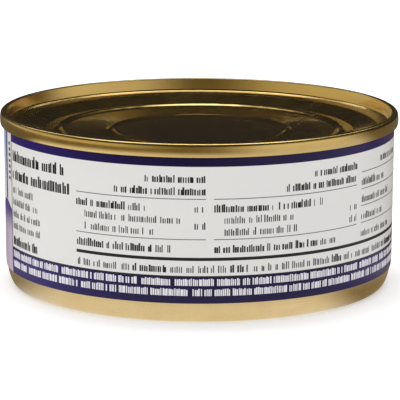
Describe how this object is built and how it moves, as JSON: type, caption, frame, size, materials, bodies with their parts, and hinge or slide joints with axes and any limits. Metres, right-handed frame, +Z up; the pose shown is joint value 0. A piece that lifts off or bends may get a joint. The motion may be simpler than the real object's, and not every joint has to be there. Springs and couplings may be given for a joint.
{
  "type": "tuna can",
  "caption": "Shallow round food can, shut and full: gold-lacquered tinplate with a stepped base, a beaded end on a double seam, and a paper label round the wall.",
  "frame": {"origin": "centre of the circle that the can stands on", "axes": "+Z up along the can's axis, -Y towards the side that the picture shows, with the printed panel, +X to its right"},
  "size_m": [0.0874, 0.0874, 0.0381],
  "materials": {
    "gold_body": "gold-lacquered tinplate, satin, with fine lines round the wall",
    "gold_end": "gold-lacquered tinplate, satin to glossy, with fine lines round the seam",
    "label_paper": "coated paper, semi-gloss, printed in purple, blue, white and grey"
  },
  "bodies": {
    "root": {"can_body": "gold_body", "can_end": "gold_end", "label": "label_paper"}
  },
  "joints": []
}
